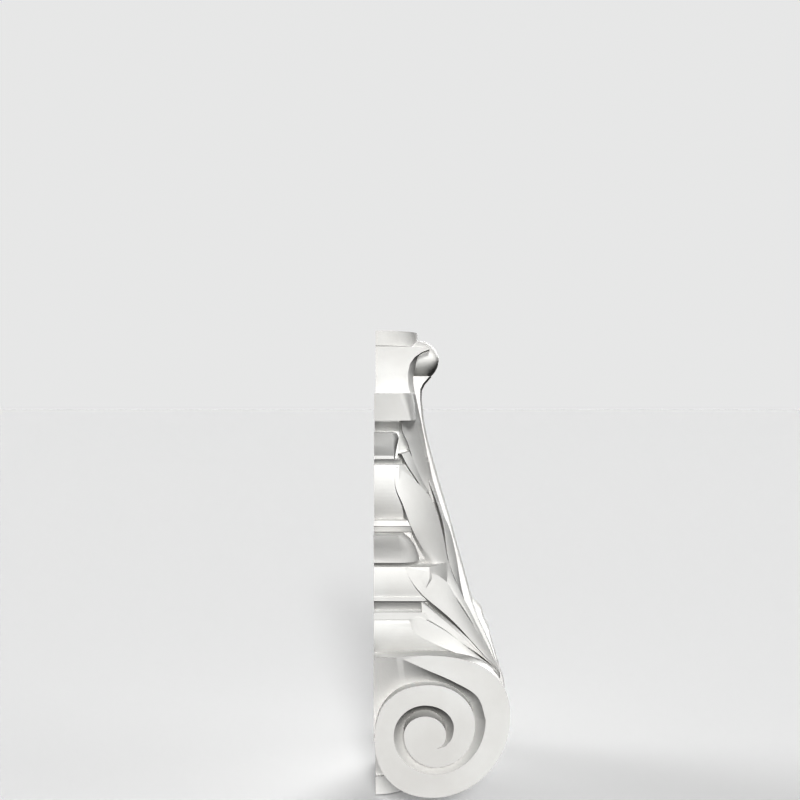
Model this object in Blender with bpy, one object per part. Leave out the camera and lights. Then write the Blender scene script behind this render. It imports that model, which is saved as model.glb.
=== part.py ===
"""Carved stone corbel with stepped side mouldings, wrapped leaf lobes and a big volute.

The whole corbel is one stone. Its back is flat on the wall, at y = 0, and it projects
towards -Y. +Z is up and X runs across it. The origin is the middle of the back face.
The carving follows a side drawing, DRAWN_HEIGHT tall and DRAWN_HALF wide to each side, in
millimetres: a depth from the wall, a level above the underside and a half-width.
"""
import math

import bmesh
import bpy
from mathutils import Vector

# Overall size, in metres: height, and half the width across the volutes
HEIGHT = 0.390
VOLUTE_HALF = 0.0890

# Size of the drawing that the carving follows, in millimetres
DRAWN_HEIGHT = 390.0
DRAWN_HALF = 89.0
UP = HEIGHT / DRAWN_HEIGHT
ACROSS = VOLUTE_HALF / DRAWN_HALF

# Half-round plinth at the top and half-round block at the foot
PLINTH_RADIUS = 0.036
PLINTH_THICK = 0.0126
PLINTH_JOINT_RADIUS = 0.0330
PLINTH_JOINT_TOP = 0.005
PLINTH_JOINT_FOOT = 0.020
FOOT_RADIUS = 0.036
FOOT_THICK = 0.015
FOOT_STEM_RADIUS = 0.033

# Half-widths of the mouldings down the side, each at its top and its foot
NECK_HALF = 0.0358
CORE_F_HALF = 0.0620
BAND_F_TOP_HALF = 0.0775
BAND_F_FOOT_HALF = 0.0748
GROOVE_F_HALF = 0.0568
BAND_E_TOP_HALF = 0.0777
BAND_E_FOOT_HALF = 0.0697
STEP_E_TOP_HALF = 0.0690
STEP_E_FOOT_HALF = 0.0655
ROLL_D_TOP_HALF = 0.0700
FILLET_D_HALF = 0.0762
GROOVE_D_HALF = 0.0735
BAND_C_TOP_HALF = VOLUTE_HALF
BAND_C_DROP = 0.0068
BAND_C_FOOT_HALF = VOLUTE_HALF - BAND_C_DROP
STEP_C_TOP_HALF = 0.0762
STEP_C_FOOT_HALF = 0.0725
ROLL_B_TOP_HALF = 0.0765
FILLET_B_HALF = 0.0796
GROOVE_B_TOP_HALF = 0.0770
GROOVE_B_HALF = 0.0710
STRIP_HALF = 0.0775
ROLL_A_TOP_HALF = 0.0765

# Rows down the three raised bands, on the drawing: level, how far the half-width is on its way
# from the top's to the foot's, what it then loses, and the end's depth, nose length and nose drop
BAND_F_ROWS = ((336.8, 0.0, 0.0, 19.0, 12.5, 34.0), (326.0, 0.5, 0.0, 24.0, 9.5, 34.0),
               (315.2, 1.0, 0.0, 28.6, 5.0, 34.0))
BAND_E_ROWS = ((305.8, 0.0, 0.0, 13.6, 1.0, 12.0), (304.5, 0.0, 0.5, 13.8, 4.2, 16.0),
               (301.0, 0.0, 1.8, 14.2, 5.4, 17.0), (294.0, 0.5, 0.0, 15.2, 2.8, 15.0),
               (287.0, 1.0, 0.0, 15.8, 1.0, 12.0), (284.3, 1.0, 0.0, 15.8, 0.6, 11.0))
BAND_C_ROWS = ((226.0, 0.0, 0.0, 18.2, 4.8, 9.0), (222.0, 0.0, 1.1, 19.4, 8.6, 11.0),
               (215.0, 0.65, 0.0, 21.0, 11.6, 12.0), (206.8, 1.0, 0.0, 21.6, 14.0, 13.0),
               (203.4, 1.0, 0.0, 20.0, 16.0, 14.0))
# Half-widths inside the body that the bands are rooted at, on the drawing
BAND_F_ROOT = 34.0
BAND_ROOT = 40.0

# Middle leaf: half-width under the curl and at the volute, and how far its tongue stands proud
LEAF_TOP_HALF = 0.0260
LEAF_FOOT_HALF = 0.0440
TONGUE_PROUD = 0.0026
# Levels on the drawing between which the leaf widens
LEAF_TOP_LEVEL = 350.0
LEAF_FOOT_LEVEL = 100.0
# Midrib, flutes and edges of the leaf's front: height or depth on the drawing, and their place
# as shares of the way from the middle to the edge
RIB_HEIGHT = 1.3
RIB_WIDTH = 0.10
FLUTE_DEPTH = 2.4
FLUTE_START = 0.08
FLUTE_WIDTH = 0.84
EDGE_DROP = 0.9
EDGE_WIDTH = 0.12
# Section of the small overlaid leaf, as (depth off its line, share of its half-width)
OVERLAY_SECTION = ((-9.0, 1.0), (-0.5, 1.0), (0.4, 0.75), (-0.4, 0.3), (1.0, 0.0))
# Quarters round the volute where the leaf's stem starts and ends
TONGUE_START = 0.62
TONGUE_END = 1.45

# Depth of the cut between the turns of the volute, at its eye, and where the cut runs out
VOLUTE_CUT = 0.0100
VOLUTE_EYE_CUT = 0.0150
VOLUTE_END_CUT = 0.0012

# The lobes are rooted this far off the middle plane, and lean back to the wall at their foot
LOBE_ROOT_HALF = 0.024
LOBE_ROOT_PULL = 0.012

# Every form starts this far behind the wall, in drawing millimetres, until the back is cut
BEHIND = -8.0

# Sampling of the curved forms
ROLL_STEPS = 4
CORNER_STEPS = 3
NOSE_STEPS = 3
LOBE_STATIONS = 10
LOBE_ARC_STEPS = 3
QUARTER_STEPS = 7
HALF_ROUND_STEPS = 18
CURL_STEPS = 9
CURL_AROUND = 16
LEAF_ACROSS = (1.0, 0.9, 0.7, 0.5, 0.3, 0.12, 0.0)
TONGUE_STEPS = 10
LEVEL_STEP = 40.0

# A rounded quarter is measured in this many steps, to space its points evenly
FINE_STEPS = 90

# Points closer than this are one point
WELD = 0.000002

# Edges that turn by more than this many degrees are crisp
SHARP_ANGLE = 35

STONE_COLOUR = (0.86, 0.86, 0.85, 1.0)
STONE_ROUGHNESS = 0.75

# Lines of the side drawing, listed downwards as (depth, level): where the middle leaf leaves
# the body, and the front of the leaf
LEAF_ROOT = ((36.0, 366.0), (32.5, 355.0), (32.5, 347.0), (34.2, 337.0), (38.5, 317.0),
             (42.7, 297.6), (48.9, 265.0), (54.8, 246.0), (61.0, 228.0), (66.0, 212.0),
             (69.0, 190.0), (73.0, 166.0), (80.0, 149.0), (92.0, 124.0), (96.0, 112.0),
             (97.0, 90.0))
LEAF_FRONT = ((47.0, 352.0), (41.1, 345.2), (38.6, 340.0), (38.5, 331.6), (40.2, 314.6),
              (43.5, 297.6), (52.7, 264.0), (62.7, 230.4), (71.8, 197.3), (80.8, 164.4),
              (86.8, 148.0), (92.5, 136.0), (97.3, 124.9), (101.4, 111.8), (104.7, 98.5),
              (105.5, 88.0))

# Leaf lobes, each as three lines of (depth, level, half) from tip to volute: the border where
# it leaves the body, the top of that border, and the crease on its other side
LOBES = {
    "lobe_a": (
        ((27.7, 156.2, 74), (32.5, 145.4, 74), (50.7, 135.0, 70), (73.9, 124.4, 64),
         (96.0, 108.5, 56), (97, 96, 52)),
        ((27.9, 156.4, 76.6), (33.0, 146.6, 78.6), (51.0, 136.6, 76.6), (74.2, 126.0, 72.5),
         (97.6, 112.0, 63.0), (99.5, 97, 56)),
        ((28.2, 157.0, 77), (37.5, 159.0, 78), (58.0, 147.1, 75), (77.5, 130.5, 68.5),
         (99.6, 110.8, 58.0), (101.4, 97, 52))),
    "valley": (
        ((38.0, 159.6, 70), (47.0, 154.6, 70), (58.0, 146.9, 68), (70.2, 136.2, 64),
         (85.9, 121.9, 57), (96.0, 107.5, 52), (97, 96, 48)),
        ((38.0, 160.0, 77.3), (47.0, 155.0, 76.0), (58.0, 147.5, 73.6), (70.2, 136.8, 69.2),
         (86.9, 123.5, 62), (99.2, 110.4, 57.0), (100, 97, 51)),
        ((37.5, 172.2, 77.0), (49.4, 162.0, 75.0), (62.8, 149.9, 70.6), (74.8, 138.0, 66.0),
         (87.4, 125.8, 60), (100.2, 109.8, 53), (101.4, 97, 47))),
    "fillet_b": (
        ((37.6, 170.8, 72), (50.0, 160.0, 70), (62.6, 148.0, 66), (74.6, 136.0, 62),
         (85.9, 122.4, 56), (97.5, 107.0, 50), (97.6, 96, 45)),
        ((37.8, 172.0, 78.2), (50.2, 161.0, 75.2), (62.9, 149.0, 70.6), (75.0, 136.9, 66.8),
         (87.2, 124.9, 61.5), (99.8, 109.8, 55.6), (100.4, 97, 49)),
        ((35.0, 175.6, 79.4), (48.6, 164.6, 76.8), (63.2, 152.2, 71.8), (75.6, 139.6, 66.8),
         (88.2, 127.0, 60.6), (101.0, 110.0, 53.0), (102.0, 97, 46))),
    "lobe_b": (
        ((24.6, 198.0, 74), (26.9, 189.6, 74), (36.0, 173.0, 73), (62.3, 150.9, 66),
         (85.8, 124.4, 57), (98.0, 107.4, 50), (98.2, 95, 44)),
        ((24.8, 198.2, 76.8), (29.2, 189.2, 79.4), (39.2, 176.9, 79.6), (63.0, 155.2, 74.0),
         (86.8, 127.2, 63.6), (100.6, 110.0, 55.5), (101.0, 96, 48)),
        ((25.2, 198.6, 77.0), (41.0, 196.0, 77.5), (57.0, 187.0, 71.5), (68.9, 166.4, 66),
         (86.6, 138.2, 57), (102.2, 109.4, 48), (103.0, 96, 42))),
    "lobe_c": (
        ((17.0, 277.6, 70), (16.0, 262.0, 71), (21.5, 246.0, 70), (25.4, 229.5, 68),
         (35.0, 208.0, 64), (52.0, 184.0, 56), (76.9, 149.0, 49), (99.2, 104.0, 43),
         (98.6, 88, 38)),
        ((17.2, 278.0, 71), (17.0, 263.0, 76.0), (23.4, 247.3, 77.5), (29.7, 230.3, 76.0),
         (39.0, 212.0, 69.5), (54.4, 187.6, 59.5), (78.1, 152.0, 52.5), (101.4, 105.4, 47.5),
         (101.0, 89, 42)),
        ((18.4, 278.2, 71.4), (33.5, 266.2, 65), (46.6, 249.5, 60), (54.9, 225.3, 56),
         (60.8, 196.8, 54), (70.5, 173.5, 51), (82.0, 150.5, 48), (103.4, 104.6, 42),
         (102.6, 89, 38))),
    "lobe_e": (
        ((40.6, 271.0, 42), (44.5, 262.0, 47), (49.5, 248.0, 50), (55.0, 228.0, 51),
         (59.0, 200.0, 50), (70.0, 170.0, 48), (87.0, 127.0, 44)),
        ((41.2, 271.0, 45), (45.2, 262.0, 51.0), (50.2, 249.0, 53), (56.2, 228.5, 53.5),
         (60.5, 200.0, 52.5), (71.5, 170.0, 50), (87.6, 126.0, 45)),
        ((42.4, 271.0, 43), (47.4, 260.0, 48.5), (53.5, 244.0, 48), (62.0, 224.0, 45),
         (67.5, 201.0, 42.5), (73.5, 168.0, 41), (88.0, 125.0, 40))),
    "lobe_d": (
        ((20.5, 318.0, 60), (22.2, 305.5, 56), (25.5, 298.1, 53), (28.0, 290.3, 51),
         (33.7, 270.4, 49), (41.4, 257.4, 45), (46.0, 247.0, 42)),
        ((21.0, 318.2, 71), (22.8, 305.8, 66), (26.2, 298.4, 63), (28.8, 290.5, 60.5),
         (34.9, 271.4, 57.0), (42.8, 257.8, 51.0), (47.6, 247.0, 47)),
        ((30.5, 326.0, 50), (34.9, 310.6, 45), (38.2, 298.1, 43), (41.5, 285.6, 42.5),
         (44.8, 272.0, 43.5), (48.6, 258.2, 45), (52.0, 247.0, 43))),
    "spur": (
        ((18.6, 288.0, 60), (23.0, 278.8, 60), (31.0, 267.0, 56), (38.0, 256.0, 50)),
        ((21.8, 288.2, 69.5), (26.6, 279.0, 67.5), (34.4, 266.6, 61.5), (41.0, 256.0, 55)),
        ((28.4, 289.9, 62), (32.4, 280.4, 61), (38.4, 266.4, 56), (44.6, 256.0, 50))),
}
ROUNDNESS = {"lobe_a": 0.8, "valley": 0.35, "fillet_b": 0.55, "lobe_b": 0.8, "lobe_c": 0.8,
             "lobe_e": 0.7, "lobe_d": 0.66, "spur": 0.7}

# Small leaf laid over the foot of the middle leaf, as (depth, level, half) down its edge
OVERLAY = ((83.0, 158.5, 1.0), (87.6, 153.4, 7.0), (91.4, 148.6, 13.0), (92.4, 144.5, 16.0),
           (94.4, 139.5, 19.0), (97.2, 134.0, 22.0), (98.6, 127.0, 24.0), (102.8, 113.0, 25.0),
           (105.8, 99.5, 24.0), (106.4, 90.0, 22.0))

# Extremes of the volute's outer edge as (depth, level): top, front, foot, wall side, and round
SPIRAL = ((38.5, 132.5), (106.4, 83.6), (45.9, 21.7), (0.9, 66.4), (44.3, 109.5),
          (79.1, 79.1), (48.7, 45.3), (23.6, 70.3), (40.3, 85.1), (56.6, 70.3), (48.3, 60.2))
SPIRAL_POWER = (2.5, 1.95, 2.2, 2.3, 2.0, 2.0, 2.0, 2.0, 2.0, 2.0)
SPIRAL_CENTRE = (46.0, 78.0)
# The volute's block: its size at half-widths across it, and the level of its top at the wall
VOLUTE_WAIST = ((89.0, 1.0), (76.0, 1.0), (70.0, 0.99), (62.0, 0.975), (-62.0, 0.975),
                (-70.0, 0.99), (-76.0, 1.0), (-89.0, 1.0))
VOLUTE_BACK_TOP = 129.7
# Inner edge of the raised turn: its start along the top, then its extremes from the front
INNER_START = ((BEHIND - 2, 133.4), (4.0, 131.6), (18.9, 130.8), (40.1, 121.8), (62.0, 112.2),
               (80.7, 100.5))
INNER = ((87.3, 82.3), (48.7, 39.9), (15.7, 69.5), (40.3, 93.5), (62.5, 75.8), (50.2, 60.2))

# Curl of the leaf tip: centre, reach and rise on the side drawing, half-width, flat underside
CURL_CENTRE = (37.5, 366.2)
CURL_REACH = 16.8
CURL_RISE = 17.3
CURL_HALF = 27.0
CURL_FLAT = 349.8


def place(depth, level, half):
    """A point of the side drawing, at its real size and place."""
    return Vector((half * ACROSS, -depth * UP, level * UP - HEIGHT / 2))


def hermite(t, before, start, end, after):
    """Smooth curve between two values, with slopes read from their neighbours."""
    slope_in = (end - before) / 2
    slope_out = (after - start) / 2
    value = (2 * t ** 3 - 3 * t ** 2 + 1) * start + (t ** 3 - 2 * t ** 2 + t) * slope_in
    return value + (3 * t ** 2 - 2 * t ** 3) * end + (t ** 3 - t ** 2) * slope_out


def along(points, share):
    """The point at a share of the way along a smooth line through the given points."""
    spans = len(points) - 1
    position = min(max(share, 0.0), 1.0) * spans
    index = min(int(position), spans - 1)
    four = (points[max(index - 1, 0)], points[index], points[index + 1],
            points[min(index + 2, spans)])
    return [hermite(position - index, *numbers) for numbers in zip(*four)]


def read_line(points, level, column=0):
    """The depth, or another column, that a line listed downwards has at a level."""
    if level >= points[0][1]:
        return points[0][column]
    for upper, lower in zip(points, points[1:]):
        if level >= lower[1]:
            share = (upper[1] - level) / (upper[1] - lower[1])
            return upper[column] + (lower[column] - upper[column]) * share
    return points[-1][column]


def new_object(name, shape):
    """Turn a bmesh into an object in the scene, with its faces pointing out."""
    bmesh.ops.recalc_face_normals(shape, faces=shape.faces)
    mesh = bpy.data.meshes.new(name)
    shape.to_mesh(mesh)
    shape.free()
    made = bpy.data.objects.new(name, mesh)
    bpy.context.collection.objects.link(made)
    return made


def loft(name, sections):
    """A closed body through sections that all have the same number of points."""
    shape = bmesh.new()
    rings = [[shape.verts.new(point) for point in section] for section in sections]
    for lower, upper in zip(rings, rings[1:]):
        for index in range(len(lower)):
            following = (index + 1) % len(lower)
            shape.faces.new((lower[index], lower[following], upper[following], upper[index]))
    shape.faces.new(rings[0])
    shape.faces.new(rings[-1])
    bmesh.ops.triangulate(shape, faces=shape.faces)
    return new_object(name, shape)


def mirrored(source):
    """A copy of a body on the other side of the middle plane."""
    shape = bmesh.new()
    shape.from_mesh(source.data)
    for vertex in shape.verts:
        vertex.co.x = -vertex.co.x
    return new_object(source.name + "_mirrored", shape)


def drawn(size):
    """A real half-width in metres as a half-width on the drawing."""
    return size / ACROSS


def roll(top_half, top, foot, top_tilt, foot_tilt):
    """Rows of (level, half) down a convex moulding that turns from one tilt to another."""
    high = math.radians(top_tilt)
    low = math.radians(foot_tilt)
    radius = (top - foot) / (math.sin(high) - math.sin(low))
    rows = []
    for step in range(ROLL_STEPS + 1):
        angle = high + (low - high) * step / ROLL_STEPS
        level = foot + radius * (math.sin(angle) - math.sin(low))
        rows.append((level, drawn(top_half) + radius * (math.cos(angle) - math.cos(high))))
    return rows


def body_rows():
    """Rows of (level, half, end) down the body; end is the depth where its side turns in."""
    neck = drawn(NECK_HALF)
    rows = [(376.6, neck - 0.6, 30.0), (376.0, neck, 36.0), (375.0, neck, 42.0),
            (374.0, neck, 45.0), (371.5, neck, 38.6),
            (367.5, neck, 33.0), (361.9, neck, 29.0), (354.4, neck, 27.3),
            (343.4, neck - 0.9, 27.8), (337.4, neck - 1.2, 29.0),
            (336.2, drawn(CORE_F_HALF), 20.0), (314.0, drawn(CORE_F_HALF), 20.0),
            (306.0, drawn(GROOVE_F_HALF), 20.0), (300.0, drawn(GROOVE_F_HALF), 20.0),
            (284.2, drawn(GROOVE_F_HALF), 18.0),
            (283.6, drawn(STEP_E_TOP_HALF), 16.0), (280.1, drawn(STEP_E_FOOT_HALF), 16.0)]
    end_d = ((20.0, 280.0), (20.0, 268.0), (22.0, 258.0), (29.0, 245.0), (33.0, 236.0))
    for level, half in roll(ROLL_D_TOP_HALF, 279.5, 236.4, 25, -29):
        rows.append((level, half, read_line(end_d, level)))
    rows += [(235.6, drawn(FILLET_D_HALF) - 1.0, 31.0), (231.4, drawn(FILLET_D_HALF), 29.0),
             (230.9, drawn(FILLET_D_HALF) - 0.8, 29.0), (226.6, drawn(GROOVE_D_HALF), 29.0),
             (226.0, drawn(GROOVE_D_HALF) - 1.5, 29.0), (203.6, drawn(STEP_C_TOP_HALF) - 5, 30.0),
             (203.0, drawn(STEP_C_TOP_HALF), 22.0), (199.7, drawn(STEP_C_FOOT_HALF), 23.0)]
    end_b = ((44.0, 199.0), (44.0, 190.0), (38.0, 176.0))
    for level, half in roll(ROLL_B_TOP_HALF, 199.1, 175.9, 20, -12):
        rows.append((level, half, read_line(end_b, level)))
    rows += [(175.4, drawn(FILLET_B_HALF), 38.0), (172.6, drawn(FILLET_B_HALF), 39.0),
             (171.4, drawn(GROOVE_B_TOP_HALF), 40.0), (163.8, drawn(GROOVE_B_HALF), 46.0),
             (163.2, drawn(STRIP_HALF), 40.0), (157.4, drawn(STRIP_HALF), 42.0)]
    end_a = ((33.0, 157.0), (34.0, 152.0), (38.0, 146.0), (46.0, 141.0), (57.0, 137.0),
             (69.0, 132.0))
    for level, half in roll(ROLL_A_TOP_HALF, 157.0, 129.8, 20, -42):
        rows.append((level, half, read_line(end_a, level)))
    rows += [(118.0, 66.0, 80.0), (100.0, 62.0, 82.0)]
    return rows


def leaf_half(level):
    """Half-width of the middle leaf at a level."""
    share = (LEAF_TOP_LEVEL - level) / (LEAF_TOP_LEVEL - LEAF_FOOT_LEVEL)
    share = min(max(share, 0.0), 1.0)
    return drawn(LEAF_TOP_HALF + (LEAF_FOOT_HALF - LEAF_TOP_HALF) * share)


def fill_levels(rows):
    """Add rows between rows that lie far apart, so that curved front lines are followed."""
    filled = [rows[0]]
    for row in rows[1:]:
        last = filled[-1]
        gaps = max(1, math.ceil((last[0] - row[0]) / LEVEL_STEP))
        for gap in range(1, gaps + 1):
            filled.append(tuple(a + (b - a) * gap / gaps for a, b in zip(last, row)))
    return filled


def make_body():
    """The stepped block behind the leaf, with its front corners rounded away."""
    sections = []
    for level, half, end in fill_levels(body_rows()):
        inner = min(leaf_half(level) - 2.0, half - 4.0)
        front = max(read_line(LEAF_ROOT, level), end + 1.0)
        side = [(BEHIND, half), (end, half)]
        for step in range(1, CORNER_STEPS + 1):
            t = step / CORNER_STEPS
            corner = 0.26 * 2 * t * (1 - t)
            depth = end + (front - end) * (t + corner * 0.5)
            side.append((min(depth, front), half + (inner - half) * (t - corner * 0.5)))
        outline = [place(depth, level, x) for depth, x in side]
        outline += [place(depth, level, -x) for depth, x in reversed(side)]
        sections.append(outline)
    return loft("corbel", sections)


def make_band(name, rows, top_half, foot_half, root):
    """A raised band on one side, with a rounded end, between its top's and foot's half-widths."""
    sections = []
    for level, share, loss, end, length, drop in rows:
        half = drawn(top_half) * (1 - share) + drawn(foot_half) * share - loss
        section = [place(BEHIND, level, root), place(BEHIND, level, half)]
        for step in range(NOSE_STEPS + 1):
            angle = math.pi / 2 * step / NOSE_STEPS
            section.append(place(end + length * math.sin(angle), level,
                                 half - drop * (1 - math.cos(angle))))
        section.append(place(end + length, level, root))
        sections.append(section)
    return loft(name, sections)


def make_bands():
    """The three raised bands of one side."""
    return [make_band("band_f", BAND_F_ROWS, BAND_F_TOP_HALF, BAND_F_FOOT_HALF, BAND_F_ROOT),
            make_band("band_e", BAND_E_ROWS, BAND_E_TOP_HALF, BAND_E_FOOT_HALF, BAND_ROOT),
            make_band("band_c", BAND_C_ROWS, BAND_C_TOP_HALF, BAND_C_FOOT_HALF, BAND_ROOT)]


def leaf_face(share):
    """How far the leaf's front stands in front of its edge line, across from its middle."""
    rib = RIB_HEIGHT * math.exp(-(share / RIB_WIDTH) ** 2)
    across_flute = min(max((share - FLUTE_START) / FLUTE_WIDTH, 0.0), 1.0)
    flute = -FLUTE_DEPTH * math.sin(math.pi * across_flute) ** 2
    edge = -EDGE_DROP * max(0.0, (share - 1 + EDGE_WIDTH) / EDGE_WIDTH) ** 2
    return rib + flute + edge


def make_leaf():
    """The middle leaf, which gives the corbel its front line."""
    sections = []
    levels = [level for _, level in LEAF_FRONT]
    rows = fill_levels([(level, 0.0) for level in levels])
    for level, _ in rows:
        half = leaf_half(level)
        front = read_line(LEAF_FRONT, level)
        side = [(20.0, half)]
        side += [(front + leaf_face(share), half * share) for share in LEAF_ACROSS]
        section = [place(depth, level, x) for depth, x in side]
        section += [place(depth, level, -x) for depth, x in reversed(side[:-1])]
        sections.append(section)
    return loft("middle_leaf", sections)


def make_overlay():
    """The small leaf laid over the foot of the middle leaf."""
    sections = []
    rows = fill_levels([(level, depth, half) for depth, level, half in OVERLAY])
    for level, depth, half in rows:
        side = [(depth + rise, half * share) for rise, share in OVERLAY_SECTION]
        section = [place(d, level, x) for d, x in side]
        section += [place(d, level, -x) for d, x in reversed(side[:-1])]
        sections.append(section)
    return loft("overlay_leaf", sections)


def make_lobe(name):
    """A leaf lobe of one side, from its tip down into the volute."""
    border, edge_line, crease_line = LOBES[name]
    roundness = ROUNDNESS[name]
    sections = []
    for station in range(LOBE_STATIONS + 1):
        share = station / LOBE_STATIONS
        skirt = place(*along(border, share))
        edge = place(*along(edge_line, share))
        crease = place(*along(crease_line, share))
        middle = edge.lerp(crease, 0.5)
        control = Vector((edge.x * roundness + crease.x * (1 - roundness), middle.y, middle.z))
        section = [skirt]
        for step in range(LOBE_ARC_STEPS + 1):
            t = step / LOBE_ARC_STEPS
            section.append(edge.lerp(control, t).lerp(control.lerp(crease, t), t))
        root = skirt.lerp(crease, 0.5)
        section.append(Vector((LOBE_ROOT_HALF, root.y + LOBE_ROOT_PULL * share, root.z)))
        sections.append(section)
    return loft(name, sections)


def rounded_quarter(start, end, corner, power):
    """Evenly spaced points from start towards end, on a quarter of a rounded outline."""
    fine = []
    for step in range(FINE_STEPS + 1):
        angle = math.pi / 2 * step / FINE_STEPS
        from_start = max(math.cos(angle), 0.0) ** (2 / power)
        from_end = math.sin(angle) ** (2 / power)
        fine.append([c + (s - c) * from_start + (e - c) * from_end
                     for s, e, c in zip(start, end, corner)])
    lengths = [0.0]
    for one, other in zip(fine, fine[1:]):
        lengths.append(lengths[-1] + math.dist(one, other))
    points = []
    span = 0
    for step in range(QUARTER_STEPS):
        wanted = lengths[-1] * step / QUARTER_STEPS
        while lengths[span + 1] < wanted:
            span += 1
        share = (wanted - lengths[span]) / (lengths[span + 1] - lengths[span])
        points.append(tuple(a + (b - a) * share for a, b in zip(fine[span], fine[span + 1])))
    return points


def spiral_quarter(index):
    """One quarter of the volute's outer edge, between two of its extremes."""
    start = SPIRAL[index]
    end = SPIRAL[index + 1]
    corner = (start[0], end[1]) if index % 2 == 0 else (end[0], start[1])
    return rounded_quarter(start, end, corner, SPIRAL_POWER[index])


def volute_outline():
    """The volute's outline from its top round to its wall side."""
    outline = []
    for index in range(3):
        outline += spiral_quarter(index)
    return outline + [SPIRAL[3]]


def make_volute():
    """The block of the volute, a little waisted between its two faces."""
    sections = []
    for half, size in VOLUTE_WAIST:
        section = [place(BEHIND, VOLUTE_BACK_TOP, half), place(0.0, VOLUTE_BACK_TOP, half)]
        for depth, level in volute_outline():
            section.append(place(SPIRAL_CENTRE[0] + (depth - SPIRAL_CENTRE[0]) * size,
                                 SPIRAL_CENTRE[1] + (level - SPIRAL_CENTRE[1]) * size, half))
        section.append(place(BEHIND, SPIRAL[3][1], half))
        sections.append(section)
    return loft("volute", sections)


def make_tongue():
    """The stem of the middle leaf, laid round the front of the volute."""
    outline = spiral_quarter(0) + spiral_quarter(1)
    first = QUARTER_STEPS * TONGUE_START
    last = QUARTER_STEPS * TONGUE_END
    sections = []
    for step in range(TONGUE_STEPS + 1):
        share = step / TONGUE_STEPS
        position = first + (last - first) * share
        depth, level = along(outline, position / (len(outline) - 1))
        out = Vector((depth - SPIRAL_CENTRE[0], level - SPIRAL_CENTRE[1])).normalized()
        half = drawn(LEAF_FOOT_HALF) * (1 - share ** 2.2) ** 0.5 * 0.98 + 2.0
        proud = TONGUE_PROUD / UP * (1 - 0.5 * share)
        side = [(-9.0, half), (proud - 0.9, half), (proud, half * 0.85), (proud - 1.2, half * 0.45),
                (proud - 0.5, half * 0.14), (proud + 0.6, 0.0)]
        section = [place(depth + out.x * rise, level + out.y * rise, x) for rise, x in side]
        section += [place(depth + out.x * rise, level + out.y * rise, -x)
                    for rise, x in reversed(side[:-1])]
        sections.append(section)
    return loft("leaf_stem", sections)


def inner_edge():
    """The inner edge of the raised turns, from the wall round to the eye."""
    start_steps = 2 * QUARTER_STEPS
    line = INNER_START + (INNER[0],)
    points = [tuple(along(line, step / start_steps)) for step in range(start_steps)]
    for index in range(len(INNER) - 1):
        start = INNER[index]
        end = INNER[index + 1]
        corner = (end[0], start[1]) if index % 2 == 0 else (start[0], end[1])
        points += rounded_quarter(start, end, corner, 2.0)
    return points + [INNER[-1]]


def cut_levels():
    """Half-widths at the foot of the winding cut by quarter turns, from the wall to the eye."""
    face = drawn(VOLUTE_HALF)
    cut = face - VOLUTE_CUT / UP
    eye_cut = face - VOLUTE_EYE_CUT / UP
    run_out = (eye_cut + face) / 2 - 3.0
    return ((cut,), (cut,), (cut,), (cut,), (cut - 1.5,), (eye_cut,), (run_out,),
            (face - VOLUTE_END_CUT / UP,))


def make_volute_cut(side):
    """The winding cut between the turns, a ramp from one turn to the foot of the next."""
    next_turn = []
    for index in range(3, len(SPIRAL) - 1):
        next_turn += spiral_quarter(index)
    next_turn.append(SPIRAL[-1])
    next_turn[0] = (BEHIND - 2, next_turn[0][1])
    ramp_top = inner_edge()
    above = drawn(VOLUTE_HALF) + 3.0
    face = drawn(VOLUTE_HALF)
    sections = []
    for index, (start, end) in enumerate(zip(ramp_top, next_turn)):
        foot = along(cut_levels(), index / (len(ramp_top) - 1))[0]
        sections.append([place(*start, side * above), place(*start, side * face),
                         place(*end, side * foot), place(*end, side * above)])
    return loft("volute_cut", sections)


def make_half_round(name, radius, foot, top):
    """A half-disc on the wall, between two heights in metres above the underside."""
    behind = -BEHIND * UP
    sections = []
    for height in (foot, top):
        section = [Vector((radius, behind, height - HEIGHT / 2))]
        for step in range(HALF_ROUND_STEPS + 1):
            angle = math.pi * step / HALF_ROUND_STEPS
            section.append(Vector((radius * math.cos(angle), -radius * math.sin(angle),
                                   height - HEIGHT / 2)))
        section.append(Vector((-radius, behind, height - HEIGHT / 2)))
        sections.append(section)
    return loft(name, sections)


def make_curl():
    """The curled leaf tip over the middle leaf, flat underneath."""
    sections = []
    for step in range(1, CURL_STEPS):
        reach = -math.cos(math.pi * step / CURL_STEPS)
        rise = CURL_RISE * math.sqrt(1 - reach ** 2)
        half = CURL_HALF * (1 - abs(reach) ** 5) ** 0.2
        depth = CURL_CENTRE[0] + CURL_REACH * reach
        section = []
        for around in range(CURL_AROUND):
            angle = 2 * math.pi * around / CURL_AROUND
            level = CURL_CENTRE[1] + rise * math.sin(angle)
            section.append(place(depth, max(level, CURL_FLAT + 0.02 * math.cos(angle)),
                                 half * math.cos(angle)))
        sections.append(section)
    return loft("curl", sections)


def make_wall_cut():
    """The block that cuts the back off flat on the wall plane."""
    half = VOLUTE_HALF * 1.5
    behind = -BEHIND * UP * 3
    sections = []
    for height in (-HEIGHT, HEIGHT):
        sections.append([Vector((half, 0, height)), Vector((half, behind, height)),
                         Vector((-half, behind, height)), Vector((-half, 0, height))])
    return loft("wall_cut", sections)


def clean(base):
    """Weld the slivers that cuts leave."""
    shape = bmesh.new()
    shape.from_mesh(base.data)
    bmesh.ops.remove_doubles(shape, verts=shape.verts, dist=WELD)
    bmesh.ops.dissolve_degenerate(shape, edges=shape.edges, dist=WELD)
    bmesh.ops.triangulate(shape, faces=shape.faces)
    shape.to_mesh(base.data)
    shape.free()


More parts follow.
